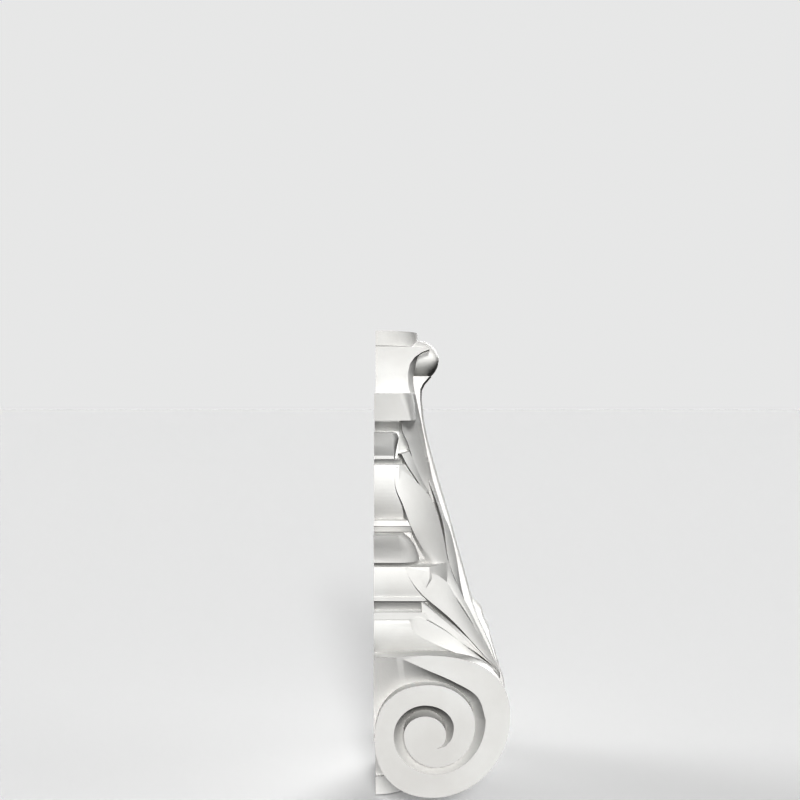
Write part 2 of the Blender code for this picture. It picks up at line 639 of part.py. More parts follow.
def combine(base, others, operation):
    """Merge bodies into the base, or cut them out of it, and remove them."""
    gathered = bpy.data.collections.new(operation.lower())
    for other in others:
        gathered.objects.link(other)
    boolean = base.modifiers.new(operation.lower(), "BOOLEAN")
    boolean.operation = operation
    boolean.solver = "EXACT"
    boolean.use_self = True
    boolean.operand_type = "COLLECTION"
    boolean.collection = gathered
    depsgraph = bpy.context.evaluated_depsgraph_get()
    merged = bpy.data.meshes.new_from_object(base.evaluated_get(depsgraph))
    base.modifiers.clear()
    old_mesh = base.data
    base.data = merged
    bpy.data.meshes.remove(old_mesh)
    for other in others:
        bpy.data.objects.remove(other, do_unlink=True)
    bpy.data.collections.remove(gathered)
    clean(base)


def fill_hollows(base):
    """Keep the largest closed surface, and so fill hollows sealed inside the stone."""
    shape = bmesh.new()
    shape.from_mesh(base.data)
    left = set(shape.verts)
    surfaces = []
    while left:
        waiting = [left.pop()]
        surface = list(waiting)
        while waiting:
            for edge in waiting.pop().link_edges:
                for vertex in edge.verts:
                    if vertex in left:
                        left.remove(vertex)
                        waiting.append(vertex)
                        surface.append(vertex)
        surfaces.append(surface)
    surfaces.sort(key=len)
    inner = [vertex for surface in surfaces[:-1] for vertex in surface]
    bmesh.ops.delete(shape, geom=inner, context="VERTS")
    shape.to_mesh(base.data)
    shape.free()


def stone_material():
    """White, even-grained stone with a satin-matt surface."""
    material = bpy.data.materials.new("white_stone")
    material.use_nodes = True
    shader = material.node_tree.nodes["Principled BSDF"]
    shader.inputs["Base Color"].default_value = STONE_COLOUR
    shader.inputs["Roughness"].default_value = STONE_ROUGHNESS
    shader.inputs["Metallic"].default_value = 0.0
    return material


def main():
    for old in list(bpy.data.objects):
        bpy.data.objects.remove(old, do_unlink=True)
    corbel = make_body()
    one_side = make_bands() + [make_lobe(name) for name in LOBES]
    both_sides = one_side + [mirrored(form) for form in one_side]
    middle = [
        make_leaf(), make_overlay(), make_volute(), make_tongue(), make_curl(),
        make_half_round("plinth", PLINTH_RADIUS, HEIGHT - PLINTH_THICK, HEIGHT),
        make_half_round("plinth_joint", PLINTH_JOINT_RADIUS, HEIGHT - PLINTH_JOINT_FOOT,
                        HEIGHT - PLINTH_JOINT_TOP),
        make_half_round("foot", FOOT_RADIUS, 0.0, FOOT_THICK),
        make_half_round("foot_stem", FOOT_STEM_RADIUS, FOOT_THICK / 2, SPIRAL[3][1] * UP)]
    combine(corbel, middle + both_sides, "UNION")
    cuts = [make_volute_cut(1), make_volute_cut(-1), make_wall_cut()]
    combine(corbel, cuts, "DIFFERENCE")
    fill_hollows(corbel)
    corbel.data.materials.clear()
    corbel.data.materials.append(stone_material())
    corbel.data.set_sharp_from_angle(angle=math.radians(SHARP_ANGLE))


main()
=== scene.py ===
"""The looks of the carved stone corbel: its fine carved surface, stone, camera and light."""
import math

import bmesh
import bpy
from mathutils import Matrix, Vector


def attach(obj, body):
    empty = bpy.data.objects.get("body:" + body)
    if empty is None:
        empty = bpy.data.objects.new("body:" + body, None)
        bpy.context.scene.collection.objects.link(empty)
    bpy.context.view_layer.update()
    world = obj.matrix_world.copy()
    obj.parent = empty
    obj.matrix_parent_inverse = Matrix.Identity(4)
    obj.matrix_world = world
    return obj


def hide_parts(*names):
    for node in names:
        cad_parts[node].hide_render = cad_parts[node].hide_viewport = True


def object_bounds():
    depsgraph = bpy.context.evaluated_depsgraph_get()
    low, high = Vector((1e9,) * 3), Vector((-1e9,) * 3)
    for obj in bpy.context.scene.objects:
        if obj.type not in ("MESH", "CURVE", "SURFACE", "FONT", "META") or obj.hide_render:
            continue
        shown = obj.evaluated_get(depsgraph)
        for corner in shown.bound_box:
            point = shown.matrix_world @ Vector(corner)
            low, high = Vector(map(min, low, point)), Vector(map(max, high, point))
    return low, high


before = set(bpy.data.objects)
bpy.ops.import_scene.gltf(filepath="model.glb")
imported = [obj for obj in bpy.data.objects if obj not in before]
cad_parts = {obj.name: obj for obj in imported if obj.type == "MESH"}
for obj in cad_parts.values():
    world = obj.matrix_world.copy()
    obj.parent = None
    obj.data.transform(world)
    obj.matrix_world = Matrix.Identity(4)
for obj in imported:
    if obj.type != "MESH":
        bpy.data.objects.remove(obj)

cad_low, cad_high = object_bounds()

# The photograph's frame and viewpoint
IMAGE_WIDTH = 800
FOCAL_PIXELS = 857.8
SENSOR_WIDTH = 36.0
CAMERA_PLACE = (-0.7571, -0.0206, 0.1366)

# Overall size, in metres: height, and half the width across the volutes
HEIGHT = 0.390
VOLUTE_HALF = 0.0890

# Size of the drawing that the carving follows, in millimetres
DRAWN_HEIGHT = 390.0
DRAWN_HALF = 89.0
UP = HEIGHT / DRAWN_HEIGHT
ACROSS = VOLUTE_HALF / DRAWN_HALF

# Half-round plinth at the top and half-round block at the foot
PLINTH_RADIUS = 0.036
PLINTH_THICK = 0.0126
PLINTH_JOINT_RADIUS = 0.0330
PLINTH_JOINT_TOP = 0.005
PLINTH_JOINT_FOOT = 0.020
FOOT_RADIUS = 0.036
FOOT_THICK = 0.015
FOOT_STEM_RADIUS = 0.033

# Half-widths of the mouldings down the side, each at its top and its foot
NECK_HALF = 0.0358
CORE_F_HALF = 0.0620
BAND_F_TOP_HALF = 0.0775
BAND_F_FOOT_HALF = 0.0748
GROOVE_F_HALF = 0.0568
BAND_E_TOP_HALF = 0.0777
BAND_E_FOOT_HALF = 0.0697
STEP_E_TOP_HALF = 0.0690
STEP_E_FOOT_HALF = 0.0655
ROLL_D_TOP_HALF = 0.0700
FILLET_D_HALF = 0.0762
GROOVE_D_HALF = 0.0735
BAND_C_TOP_HALF = VOLUTE_HALF
BAND_C_DROP = 0.0068
BAND_C_FOOT_HALF = VOLUTE_HALF - BAND_C_DROP
STEP_C_TOP_HALF = 0.0762
STEP_C_FOOT_HALF = 0.0725
ROLL_B_TOP_HALF = 0.0765
FILLET_B_HALF = 0.0796
GROOVE_B_TOP_HALF = 0.0770
GROOVE_B_HALF = 0.0710
STRIP_HALF = 0.0775
ROLL_A_TOP_HALF = 0.0765

# Rows down the three raised bands, on the drawing: level, how far the half-width is on its way
# from the top's to the foot's, what it then loses, and the end's depth, nose length and nose drop
BAND_F_ROWS = ((336.8, 0.0, 0.0, 19.0, 12.5, 34.0), (326.0, 0.5, 0.0, 24.0, 9.5, 34.0),
               (315.2, 1.0, 0.0, 28.6, 5.0, 34.0))
BAND_E_ROWS = ((305.8, 0.0, 0.0, 13.6, 1.0, 12.0), (304.5, 0.0, 0.5, 13.8, 4.2, 16.0),
               (301.0, 0.0, 1.8, 14.2, 5.4, 17.0), (294.0, 0.5, 0.0, 15.2, 2.8, 15.0),
               (287.0, 1.0, 0.0, 15.8, 1.0, 12.0), (284.3, 1.0, 0.0, 15.8, 0.6, 11.0))
BAND_C_ROWS = ((226.0, 0.0, 0.0, 18.2, 4.8, 9.0), (222.0, 0.0, 1.1, 19.4, 8.6, 11.0),
               (215.0, 0.65, 0.0, 21.0, 11.6, 12.0), (206.8, 1.0, 0.0, 21.6, 14.0, 13.0),
               (203.4, 1.0, 0.0, 20.0, 16.0, 14.0))
# Half-widths inside the body that the bands are rooted at, on the drawing
BAND_F_ROOT = 34.0
BAND_ROOT = 40.0

# Middle leaf: half-width under the curl and at the volute, and how far its tongue stands proud
LEAF_TOP_HALF = 0.0260
LEAF_FOOT_HALF = 0.0440
TONGUE_PROUD = 0.0026
# Levels on the drawing between which the leaf widens
LEAF_TOP_LEVEL = 350.0
LEAF_FOOT_LEVEL = 100.0
# Midrib, flutes and edges of the leaf's front: height or depth on the drawing, and their place
# as shares of the way from the middle to the edge
RIB_HEIGHT = 1.3
RIB_WIDTH = 0.10
FLUTE_DEPTH = 2.4
FLUTE_START = 0.08
FLUTE_WIDTH = 0.84
EDGE_DROP = 0.9
EDGE_WIDTH = 0.12
# Section of the small overlaid leaf, as (depth off its line, share of its half-width)
OVERLAY_SECTION = ((-9.0, 1.0), (-0.5, 1.0), (0.4, 0.75), (-0.4, 0.3), (1.0, 0.0))
# Quarters round the volute where the leaf's stem starts and ends
TONGUE_START = 0.62
TONGUE_END = 1.45

# Depth of the cut between the turns of the volute, at its eye, and where the cut runs out
VOLUTE_CUT = 0.0100
VOLUTE_EYE_CUT = 0.0150
VOLUTE_END_CUT = 0.0012

# The lobes are rooted this far off the middle plane, and lean back to the wall at their foot
LOBE_ROOT_HALF = 0.024
LOBE_ROOT_PULL = 0.012

# Every form starts this far behind the wall, in drawing millimetres, until the back is cut
BEHIND = -8.0

# Sampling of the curved forms
ROLL_STEPS = 14
CORNER_STEPS = 10
NOSE_STEPS = 8
LOBE_STATIONS = 56
LOBE_ARC_STEPS = 12
QUARTER_STEPS = 32
HALF_ROUND_STEPS = 60
CURL_STEPS = 32
CURL_AROUND = 72
LEAF_ACROSS = (1.0, 0.9, 0.7, 0.5, 0.3, 0.12, 0.0)
TONGUE_STEPS = 40
LEVEL_STEP = 3.0

# A rounded quarter is measured in this many steps, to space its points evenly
FINE_STEPS = 90

# Points closer than this are one point
WELD = 0.000002

STONE_ROUGHNESS = 0.75

# Lines of the side drawing, listed downwards as (depth, level): where the middle leaf leaves
# the body, and the front of the leaf
LEAF_ROOT = ((36.0, 366.0), (32.5, 355.0), (32.5, 347.0), (34.2, 337.0), (38.5, 317.0),
             (42.7, 297.6), (48.9, 265.0), (54.8, 246.0), (61.0, 228.0), (66.0, 212.0),
             (69.0, 190.0), (73.0, 166.0), (80.0, 149.0), (92.0, 124.0), (96.0, 112.0),
             (97.0, 90.0))
LEAF_FRONT = ((47.0, 352.0), (41.1, 345.2), (38.6, 340.0), (38.5, 331.6), (40.2, 314.6),
              (43.5, 297.6), (52.7, 264.0), (62.7, 230.4), (71.8, 197.3), (80.8, 164.4),
              (86.8, 148.0), (92.5, 136.0), (97.3, 124.9), (101.4, 111.8), (104.7, 98.5),
              (105.5, 88.0))

# Leaf lobes, each as three lines of (depth, level, half) from tip to volute: the border where
# it leaves the body, the top of that border, and the crease on its other side
LOBES = {
    "lobe_a": (
        ((27.7, 156.2, 74), (32.5, 145.4, 74), (50.7, 135.0, 70), (73.9, 124.4, 64),
         (96.0, 108.5, 56), (97, 96, 52)),
        ((27.9, 156.4, 76.6), (33.0, 146.6, 78.6), (51.0, 136.6, 76.6), (74.2, 126.0, 72.5),
         (97.6, 112.0, 63.0), (99.5, 97, 56)),
        ((28.2, 157.0, 77), (37.5, 159.0, 78), (58.0, 147.1, 75), (77.5, 130.5, 68.5),
         (99.6, 110.8, 58.0), (101.4, 97, 52))),
    "valley": (
        ((38.0, 159.6, 70), (47.0, 154.6, 70), (58.0, 146.9, 68), (70.2, 136.2, 64),
         (85.9, 121.9, 57), (96.0, 107.5, 52), (97, 96, 48)),
        ((38.0, 160.0, 77.3), (47.0, 155.0, 76.0), (58.0, 147.5, 73.6), (70.2, 136.8, 69.2),
         (86.9, 123.5, 62), (99.2, 110.4, 57.0), (100, 97, 51)),
        ((37.5, 172.2, 77.0), (49.4, 162.0, 75.0), (62.8, 149.9, 70.6), (74.8, 138.0, 66.0),
         (87.4, 125.8, 60), (100.2, 109.8, 53), (101.4, 97, 47))),
    "fillet_b": (
        ((37.6, 170.8, 72), (50.0, 160.0, 70), (62.6, 148.0, 66), (74.6, 136.0, 62),
         (85.9, 122.4, 56), (97.5, 107.0, 50), (97.6, 96, 45)),
        ((37.8, 172.0, 78.2), (50.2, 161.0, 75.2), (62.9, 149.0, 70.6), (75.0, 136.9, 66.8),
         (87.2, 124.9, 61.5), (99.8, 109.8, 55.6), (100.4, 97, 49)),
        ((35.0, 175.6, 79.4), (48.6, 164.6, 76.8), (63.2, 152.2, 71.8), (75.6, 139.6, 66.8),
         (88.2, 127.0, 60.6), (101.0, 110.0, 53.0), (102.0, 97, 46))),
    "lobe_b": (
        ((24.6, 198.0, 74), (26.9, 189.6, 74), (36.0, 173.0, 73), (62.3, 150.9, 66),
         (85.8, 124.4, 57), (98.0, 107.4, 50), (98.2, 95, 44)),
        ((24.8, 198.2, 76.8), (29.2, 189.2, 79.4), (39.2, 176.9, 79.6), (63.0, 155.2, 74.0),
         (86.8, 127.2, 63.6), (100.6, 110.0, 55.5), (101.0, 96, 48)),
        ((25.2, 198.6, 77.0), (41.0, 196.0, 77.5), (57.0, 187.0, 71.5), (68.9, 166.4, 66),
         (86.6, 138.2, 57), (102.2, 109.4, 48), (103.0, 96, 42))),
    "lobe_c": (
        ((17.0, 277.6, 70), (16.0, 262.0, 71), (21.5, 246.0, 70), (25.4, 229.5, 68),
         (35.0, 208.0, 64), (52.0, 184.0, 56), (76.9, 149.0, 49), (99.2, 104.0, 43),
         (98.6, 88, 38)),
        ((17.2, 278.0, 71), (17.0, 263.0, 76.0), (23.4, 247.3, 77.5), (29.7, 230.3, 76.0),
         (39.0, 212.0, 69.5), (54.4, 187.6, 59.5), (78.1, 152.0, 52.5), (101.4, 105.4, 47.5),
         (101.0, 89, 42)),
        ((18.4, 278.2, 71.4), (33.5, 266.2, 65), (46.6, 249.5, 60), (54.9, 225.3, 56),
         (60.8, 196.8, 54), (70.5, 173.5, 51), (82.0, 150.5, 48), (103.4, 104.6, 42),
         (102.6, 89, 38))),
    "lobe_e": (
        ((40.6, 271.0, 42), (44.5, 262.0, 47), (49.5, 248.0, 50), (55.0, 228.0, 51),
         (59.0, 200.0, 50), (70.0, 170.0, 48), (87.0, 127.0, 44)),
        ((41.2, 271.0, 45), (45.2, 262.0, 51.0), (50.2, 249.0, 53), (56.2, 228.5, 53.5),
         (60.5, 200.0, 52.5), (71.5, 170.0, 50), (87.6, 126.0, 45)),
        ((42.4, 271.0, 43), (47.4, 260.0, 48.5), (53.5, 244.0, 48), (62.0, 224.0, 45),
         (67.5, 201.0, 42.5), (73.5, 168.0, 41), (88.0, 125.0, 40))),
    "lobe_d": (
        ((20.5, 318.0, 60), (22.2, 305.5, 56), (25.5, 298.1, 53), (28.0, 290.3, 51),
         (33.7, 270.4, 49), (41.4, 257.4, 45), (46.0, 247.0, 42)),
        ((21.0, 318.2, 71), (22.8, 305.8, 66), (26.2, 298.4, 63), (28.8, 290.5, 60.5),
         (34.9, 271.4, 57.0), (42.8, 257.8, 51.0), (47.6, 247.0, 47)),
        ((30.5, 326.0, 50), (34.9, 310.6, 45), (38.2, 298.1, 43), (41.5, 285.6, 42.5),
         (44.8, 272.0, 43.5), (48.6, 258.2, 45), (52.0, 247.0, 43))),
    "spur": (
        ((18.6, 288.0, 60), (23.0, 278.8, 60), (31.0, 267.0, 56), (38.0, 256.0, 50)),
        ((21.8, 288.2, 69.5), (26.6, 279.0, 67.5), (34.4, 266.6, 61.5), (41.0, 256.0, 55)),
        ((28.4, 289.9, 62), (32.4, 280.4, 61), (38.4, 266.4, 56), (44.6, 256.0, 50))),
}
ROUNDNESS = {"lobe_a": 0.8, "valley": 0.35, "fillet_b": 0.55, "lobe_b": 0.8, "lobe_c": 0.8,
             "lobe_e": 0.7, "lobe_d": 0.66, "spur": 0.7}

# Small leaf laid over the foot of the middle leaf, as (depth, level, half) down its edge
OVERLAY = ((83.0, 158.5, 1.0), (87.6, 153.4, 7.0), (91.4, 148.6, 13.0), (92.4, 144.5, 16.0),
           (94.4, 139.5, 19.0), (97.2, 134.0, 22.0), (98.6, 127.0, 24.0), (102.8, 113.0, 25.0),
           (105.8, 99.5, 24.0), (106.4, 90.0, 22.0))

# Extremes of the volute's outer edge as (depth, level): top, front, foot, wall side, and round
SPIRAL = ((38.5, 132.5), (106.4, 83.6), (45.9, 21.7), (0.9, 66.4), (44.3, 109.5),
          (79.1, 79.1), (48.7, 45.3), (23.6, 70.3), (40.3, 85.1), (56.6, 70.3), (48.3, 60.2))
SPIRAL_POWER = (2.5, 1.95, 2.2, 2.3, 2.0, 2.0, 2.0, 2.0, 2.0, 2.0)
SPIRAL_CENTRE = (46.0, 78.0)
# The volute's block: its size at half-widths across it, and the level of its top at the wall
VOLUTE_WAIST = ((89.0, 1.0), (76.0, 1.0), (70.0, 0.99), (62.0, 0.975), (-62.0, 0.975),
                (-70.0, 0.99), (-76.0, 1.0), (-89.0, 1.0))
VOLUTE_BACK_TOP = 129.7
# Inner edge of the raised turn: its start along the top, then its extremes from the front
INNER_START = ((BEHIND - 2, 133.4), (4.0, 131.6), (18.9, 130.8), (40.1, 121.8), (62.0, 112.2),
               (80.7, 100.5))
INNER = ((87.3, 82.3), (48.7, 39.9), (15.7, 69.5), (40.3, 93.5), (62.5, 75.8), (50.2, 60.2))

# Curl of the leaf tip: centre, reach and rise on the side drawing, half-width, flat underside
CURL_CENTRE = (37.5, 366.2)
CURL_REACH = 16.8
CURL_RISE = 17.3
CURL_HALF = 27.0
CURL_FLAT = 349.8

# Stone: its two tints, where they meet on the cloud pattern, and the size of cloud and grain
STONE_DARK = (0.575, 0.57, 0.56, 1.0)
STONE_LIGHT = (0.63, 0.63, 0.622, 1.0)
TINT_START = 0.3
TINT_END = 0.7
CLOUD_SCALE = 14.0
CLOUD_DETAIL = 4.0
GRAIN_SCALE = 900.0
GRAIN_DETAIL = 3.0
GRAIN_STRENGTH = 0.12
GRAIN_DEPTH = 0.0004

# Studio: soft light from all round, the backdrop that the camera sees, and the floor
FILL_BELOW = 0.01
FILL_ABOVE = 0.05
BACKDROP = 0.90
FLOOR_HALF = 30.0
FLOOR_COLOUR = (0.59, 0.59, 0.59, 1.0)
FLOOR_GLOW = 0.15
# Edges that turn by more than this many degrees are crisp
SHARP_ANGLE = 24
# The photograph is a plain shaded render of strong contrast
CONTRAST = 0.47
# Lights, each as where it comes from, strength, angle of its disc and whether it casts shadows
LIGHTS = {
    "key": ((-0.88, -0.06, 0.45), 2.0, 14, True),
    "even_key": ((-0.88, -0.06, 0.45), 3.0, 14, False),
    "far_side": ((0.90, -0.30, 0.28), 4.4, 30, True),
    "front": ((-0.05, -0.95, 0.25), 0.4, 30, True),
    "wall_side": ((0.30, 0.95, 0.16), 3.2, 30, True),
}


def place(depth, level, half):
    """A point of the side drawing, at its real size and place."""
    return Vector((half * ACROSS, -depth * UP, level * UP - HEIGHT / 2))


def hermite(t, before, start, end, after):
    """Smooth curve between two values, with slopes read from their neighbours."""
    slope_in = (end - before) / 2
    slope_out = (after - start) / 2
    value = (2 * t ** 3 - 3 * t ** 2 + 1) * start + (t ** 3 - 2 * t ** 2 + t) * slope_in
    return value + (3 * t ** 2 - 2 * t ** 3) * end + (t ** 3 - t ** 2) * slope_out


def along(points, share):
    """The point at a share of the way along a smooth line through the given points."""
    spans = len(points) - 1
    position = min(max(share, 0.0), 1.0) * spans
    index = min(int(position), spans - 1)
    four = (points[max(index - 1, 0)], points[index], points[index + 1],
            points[min(index + 2, spans)])
    return [hermite(position - index, *numbers) for numbers in zip(*four)]


def read_line(points, level, column=0):
    """The depth, or another column, that a line listed downwards has at a level."""
    if level >= points[0][1]:
        return points[0][column]
    for upper, lower in zip(points, points[1:]):
        if level >= lower[1]:
            share = (upper[1] - level) / (upper[1] - lower[1])
            return upper[column] + (lower[column] - upper[column]) * share
    return points[-1][column]


def new_object(name, shape):
    """Turn a bmesh into an object in the scene, with its faces pointing out."""
    bmesh.ops.recalc_face_normals(shape, faces=shape.faces)
    mesh = bpy.data.meshes.new(name)
    shape.to_mesh(mesh)
    shape.free()
    made = bpy.data.objects.new(name, mesh)
    bpy.context.collection.objects.link(made)
    return made


def loft(name, sections):
    """A closed body through sections that all have the same number of points."""
    shape = bmesh.new()
    rings = [[shape.verts.new(point) for point in section] for section in sections]
    for lower, upper in zip(rings, rings[1:]):
        for index in range(len(lower)):
            following = (index + 1) % len(lower)
            shape.faces.new((lower[index], lower[following], upper[following], upper[index]))
    shape.faces.new(rings[0])
    shape.faces.new(rings[-1])
    bmesh.ops.triangulate(shape, faces=shape.faces)
    return new_object(name, shape)


def mirrored(source):
    """A copy of a body on the other side of the middle plane."""
    shape = bmesh.new()
    shape.from_mesh(source.data)
    for vertex in shape.verts:
        vertex.co.x = -vertex.co.x
    return new_object(source.name + "_mirrored", shape)


def drawn(size):
    """A real half-width in metres as a half-width on the drawing."""
    return size / ACROSS


def roll(top_half, top, foot, top_tilt, foot_tilt):
    """Rows of (level, half) down a convex moulding that turns from one tilt to another."""
    high = math.radians(top_tilt)
    low = math.radians(foot_tilt)
    radius = (top - foot) / (math.sin(high) - math.sin(low))
    rows = []
    for step in range(ROLL_STEPS + 1):
        angle = high + (low - high) * step / ROLL_STEPS
        level = foot + radius * (math.sin(angle) - math.sin(low))
        rows.append((level, drawn(top_half) + radius * (math.cos(angle) - math.cos(high))))
    return rows


def body_rows():
    """Rows of (level, half, end) down the body; end is the depth where its side turns in."""
    neck = drawn(NECK_HALF)
    rows = [(376.6, neck - 0.6, 30.0), (376.0, neck, 36.0), (375.0, neck, 42.0),
            (374.0, neck, 45.0), (371.5, neck, 38.6),
            (367.5, neck, 33.0), (361.9, neck, 29.0), (354.4, neck, 27.3),
            (343.4, neck - 0.9, 27.8), (337.4, neck - 1.2, 29.0),
            (336.2, drawn(CORE_F_HALF), 20.0), (314.0, drawn(CORE_F_HALF), 20.0),
            (306.0, drawn(GROOVE_F_HALF), 20.0), (300.0, drawn(GROOVE_F_HALF), 20.0),
            (284.2, drawn(GROOVE_F_HALF), 18.0),
            (283.6, drawn(STEP_E_TOP_HALF), 16.0), (280.1, drawn(STEP_E_FOOT_HALF), 16.0)]
    end_d = ((20.0, 280.0), (20.0, 268.0), (22.0, 258.0), (29.0, 245.0), (33.0, 236.0))
    for level, half in roll(ROLL_D_TOP_HALF, 279.5, 236.4, 25, -29):
        rows.append((level, half, read_line(end_d, level)))
    rows += [(235.6, drawn(FILLET_D_HALF) - 1.0, 31.0), (231.4, drawn(FILLET_D_HALF), 29.0),
             (230.9, drawn(FILLET_D_HALF) - 0.8, 29.0), (226.6, drawn(GROOVE_D_HALF), 29.0),
             (226.0, drawn(GROOVE_D_HALF) - 1.5, 29.0), (203.6, drawn(STEP_C_TOP_HALF) - 5, 30.0),
             (203.0, drawn(STEP_C_TOP_HALF), 22.0), (199.7, drawn(STEP_C_FOOT_HALF), 23.0)]
    end_b = ((44.0, 199.0), (44.0, 190.0), (38.0, 176.0))
    for level, half in roll(ROLL_B_TOP_HALF, 199.1, 175.9, 20, -12):
        rows.append((level, half, read_line(end_b, level)))
    rows += [(175.4, drawn(FILLET_B_HALF), 38.0), (172.6, drawn(FILLET_B_HALF), 39.0),
             (171.4, drawn(GROOVE_B_TOP_HALF), 40.0), (163.8, drawn(GROOVE_B_HALF), 46.0),
             (163.2, drawn(STRIP_HALF), 40.0), (157.4, drawn(STRIP_HALF), 42.0)]
    end_a = ((33.0, 157.0), (34.0, 152.0), (38.0, 146.0), (46.0, 141.0), (57.0, 137.0),
             (69.0, 132.0))
    for level, half in roll(ROLL_A_TOP_HALF, 157.0, 129.8, 20, -42):
        rows.append((level, half, read_line(end_a, level)))
    rows += [(118.0, 66.0, 80.0), (100.0, 62.0, 82.0)]
    return rows


def leaf_half(level):
    """Half-width of the middle leaf at a level."""
    share = (LEAF_TOP_LEVEL - level) / (LEAF_TOP_LEVEL - LEAF_FOOT_LEVEL)
    share = min(max(share, 0.0), 1.0)
    return drawn(LEAF_TOP_HALF + (LEAF_FOOT_HALF - LEAF_TOP_HALF) * share)


def fill_levels(rows):
    """Add rows between rows that lie far apart, so that curved front lines are followed."""
    filled = [rows[0]]
    for row in rows[1:]:
        last = filled[-1]
        gaps = max(1, math.ceil((last[0] - row[0]) / LEVEL_STEP))
        for gap in range(1, gaps + 1):
            filled.append(tuple(a + (b - a) * gap / gaps for a, b in zip(last, row)))
    return filled


def make_body():
    """The stepped block behind the leaf, with its front corners rounded away."""
    sections = []
    for level, half, end in fill_levels(body_rows()):
        inner = min(leaf_half(level) - 2.0, half - 4.0)
        front = max(read_line(LEAF_ROOT, level), end + 1.0)
        side = [(BEHIND, half), (end, half)]
        for step in range(1, CORNER_STEPS + 1):
            t = step / CORNER_STEPS
            corner = 0.26 * 2 * t * (1 - t)
            depth = end + (front - end) * (t + corner * 0.5)
            side.append((min(depth, front), half + (inner - half) * (t - corner * 0.5)))
        outline = [place(depth, level, x) for depth, x in side]
        outline += [place(depth, level, -x) for depth, x in reversed(side)]
        sections.append(outline)
    return loft("corbel", sections)


def make_band(name, rows, top_half, foot_half, root):
    """A raised band on one side, with a rounded end, between its top's and foot's half-widths."""
    sections = []
    for level, share, loss, end, length, drop in rows:
        half = drawn(top_half) * (1 - share) + drawn(foot_half) * share - loss
        section = [place(BEHIND, level, root), place(BEHIND, level, half)]
        for step in range(NOSE_STEPS + 1):
            angle = math.pi / 2 * step / NOSE_STEPS
            section.append(place(end + length * math.sin(angle), level,
                                 half - drop * (1 - math.cos(angle))))
        section.append(place(end + length, level, root))
        sections.append(section)
    return loft(name, sections)


def make_bands():
    """The three raised bands of one side."""
    return [make_band("band_f", BAND_F_ROWS, BAND_F_TOP_HALF, BAND_F_FOOT_HALF, BAND_F_ROOT),
            make_band("band_e", BAND_E_ROWS, BAND_E_TOP_HALF, BAND_E_FOOT_HALF, BAND_ROOT),
            make_band("band_c", BAND_C_ROWS, BAND_C_TOP_HALF, BAND_C_FOOT_HALF, BAND_ROOT)]


def leaf_face(share):
    """How far the leaf's front stands in front of its edge line, across from its middle."""
    rib = RIB_HEIGHT * math.exp(-(share / RIB_WIDTH) ** 2)
    across_flute = min(max((share - FLUTE_START) / FLUTE_WIDTH, 0.0), 1.0)
    flute = -FLUTE_DEPTH * math.sin(math.pi * across_flute) ** 2
    edge = -EDGE_DROP * max(0.0, (share - 1 + EDGE_WIDTH) / EDGE_WIDTH) ** 2
    return rib + flute + edge


def make_leaf():
    """The middle leaf, which gives the corbel its front line."""
    sections = []
    levels = [level for _, level in LEAF_FRONT]
    rows = fill_levels([(level, 0.0) for level in levels])
    for level, _ in rows:
        half = leaf_half(level)
        front = read_line(LEAF_FRONT, level)
        side = [(20.0, half)]
        side += [(front + leaf_face(share), half * share) for share in LEAF_ACROSS]
        section = [place(depth, level, x) for depth, x in side]
        section += [place(depth, level, -x) for depth, x in reversed(side[:-1])]
        sections.append(section)
    return loft("middle_leaf", sections)


def make_overlay():
    """The small leaf laid over the foot of the middle leaf."""
    sections = []
    rows = fill_levels([(level, depth, half) for depth, level, half in OVERLAY])
    for level, depth, half in rows:
        side = [(depth + rise, half * share) for rise, share in OVERLAY_SECTION]
        section = [place(d, level, x) for d, x in side]
        section += [place(d, level, -x) for d, x in reversed(side[:-1])]
        sections.append(section)
    return loft("overlay_leaf", sections)


def make_lobe(name):
    """A leaf lobe of one side, from its tip down into the volute."""
    border, edge_line, crease_line = LOBES[name]
    roundness = ROUNDNESS[name]
    sections = []
    for station in range(LOBE_STATIONS + 1):
        share = station / LOBE_STATIONS
        skirt = place(*along(border, share))
        edge = place(*along(edge_line, share))
        crease = place(*along(crease_line, share))
        middle = edge.lerp(crease, 0.5)
        control = Vector((edge.x * roundness + crease.x * (1 - roundness), middle.y, middle.z))
        section = [skirt]
        for step in range(LOBE_ARC_STEPS + 1):
            t = step / LOBE_ARC_STEPS
            section.append(edge.lerp(control, t).lerp(control.lerp(crease, t), t))
        root = skirt.lerp(crease, 0.5)
        section.append(Vector((LOBE_ROOT_HALF, root.y + LOBE_ROOT_PULL * share, root.z)))
        sections.append(section)
    return loft(name, sections)


def rounded_quarter(start, end, corner, power):
    """Evenly spaced points from start towards end, on a quarter of a rounded outline."""
    fine = []
    for step in range(FINE_STEPS + 1):
        angle = math.pi / 2 * step / FINE_STEPS
        from_start = max(math.cos(angle), 0.0) ** (2 / power)
        from_end = math.sin(angle) ** (2 / power)
        fine.append([c + (s - c) * from_start + (e - c) * from_end
                     for s, e, c in zip(start, end, corner)])
    lengths = [0.0]
    for one, other in zip(fine, fine[1:]):
        lengths.append(lengths[-1] + math.dist(one, other))
    points = []
    span = 0
    for step in range(QUARTER_STEPS):
        wanted = lengths[-1] * step / QUARTER_STEPS
        while lengths[span + 1] < wanted:
            span += 1
        share = (wanted - lengths[span]) / (lengths[span + 1] - lengths[span])
        points.append(tuple(a + (b - a) * share for a, b in zip(fine[span], fine[span + 1])))
    return points


def spiral_quarter(index):
    """One quarter of the volute's outer edge, between two of its extremes."""
    start = SPIRAL[index]
    end = SPIRAL[index + 1]
    corner = (start[0], end[1]) if index % 2 == 0 else (end[0], start[1])
    return rounded_quarter(start, end, corner, SPIRAL_POWER[index])


def volute_outline():
    """The volute's outline from its top round to its wall side."""
    outline = []
    for index in range(3):
        outline += spiral_quarter(index)
    return outline + [SPIRAL[3]]


